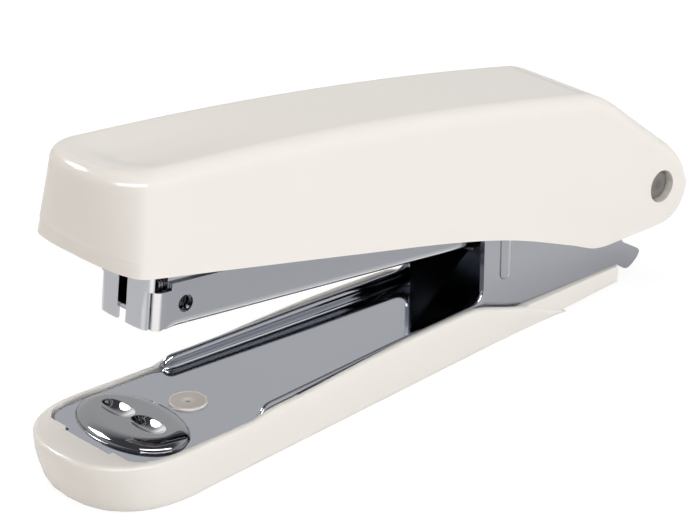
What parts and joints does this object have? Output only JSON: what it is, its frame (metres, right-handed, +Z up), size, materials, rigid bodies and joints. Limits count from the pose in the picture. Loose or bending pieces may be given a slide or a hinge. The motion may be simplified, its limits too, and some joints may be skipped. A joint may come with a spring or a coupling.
{
  "type": "stapler",
  "caption": "Small desk stapler: moulded ivory handle and base over a chromed steel frame, with a sprung magazine for No. 10 staples between them.",
  "frame": {"origin": "on the table, under the middle of the object's box", "axes": "+X along the stapler from its nose to its pin, +Y to the side of the pin's retainer, +Z up"},
  "size_m": [0.1082, 0.0228, 0.0463],
  "materials": {
    "ivory_plastic": "moulded, satin gloss",
    "chromed_steel": "bright plated sheet steel",
    "bare_steel": "plain steel",
    "spring_steel": "tempered, dull",
    "staple_wire": "galvanised wire, glued in a strip",
    "white_nylon": "moulded nylon"
  },
  "bodies": {
    "base": {"base_cover": "ivory_plastic", "base_frame": "chromed_steel", "anvil": "chromed_steel", "base_rivet": "white_nylon", "base_spring": "spring_steel", "base_spring_rivet": "bare_steel", "pivot_pin": "bare_steel", "pin_retainer": "bare_steel"},
    "magazine": {"magazine_channel": "chromed_steel", "staple_rail": "chromed_steel", "staple_strip": "staple_wire", "guide_rod": "bare_steel", "rod_anchor": "white_nylon", "pivot_bush": "bare_steel", "pusher_spring": "spring_steel"},
    "pusher": {"pusher": "bare_steel"},
    "handle": {"handle_cover": "ivory_plastic", "handle_frame": "chromed_steel", "driver_blade": "bare_steel", "driver_rivet_near": "bare_steel", "driver_rivet_far": "bare_steel", "handle_spring": "spring_steel", "handle_spring_rivet": "bare_steel"}
  },
  "joints": [
    {"name": "magazine_swing", "type": "hinge", "parent": "base", "child": "magazine", "pos_m": [0.0488, 0, 0.01477], "axis": [0, 1, 0], "range_deg": [-8.8, 0], "stiffness_Nm_per_rad": 0.4, "springref_deg": 6.88, "deforming": ["base_spring"]},
    {"name": "handle_swing", "type": "hinge", "parent": "magazine", "child": "handle", "pos_m": [0.0488, 0, 0.01477], "axis": [0, 1, 0], "range_deg": [-4, 95], "stiffness_Nm_per_rad": 0.8, "springref_deg": 0.69, "deforming": ["handle_spring"]},
    {"name": "pusher_slide", "type": "slide", "parent": "magazine", "child": "pusher", "axis": [0.9911, 0, -0.1329], "range_m": [0, 0.022], "stiffness_N_per_m": 30, "springref_m": -0.03, "deforming": ["pusher_spring"]}
  ]
}
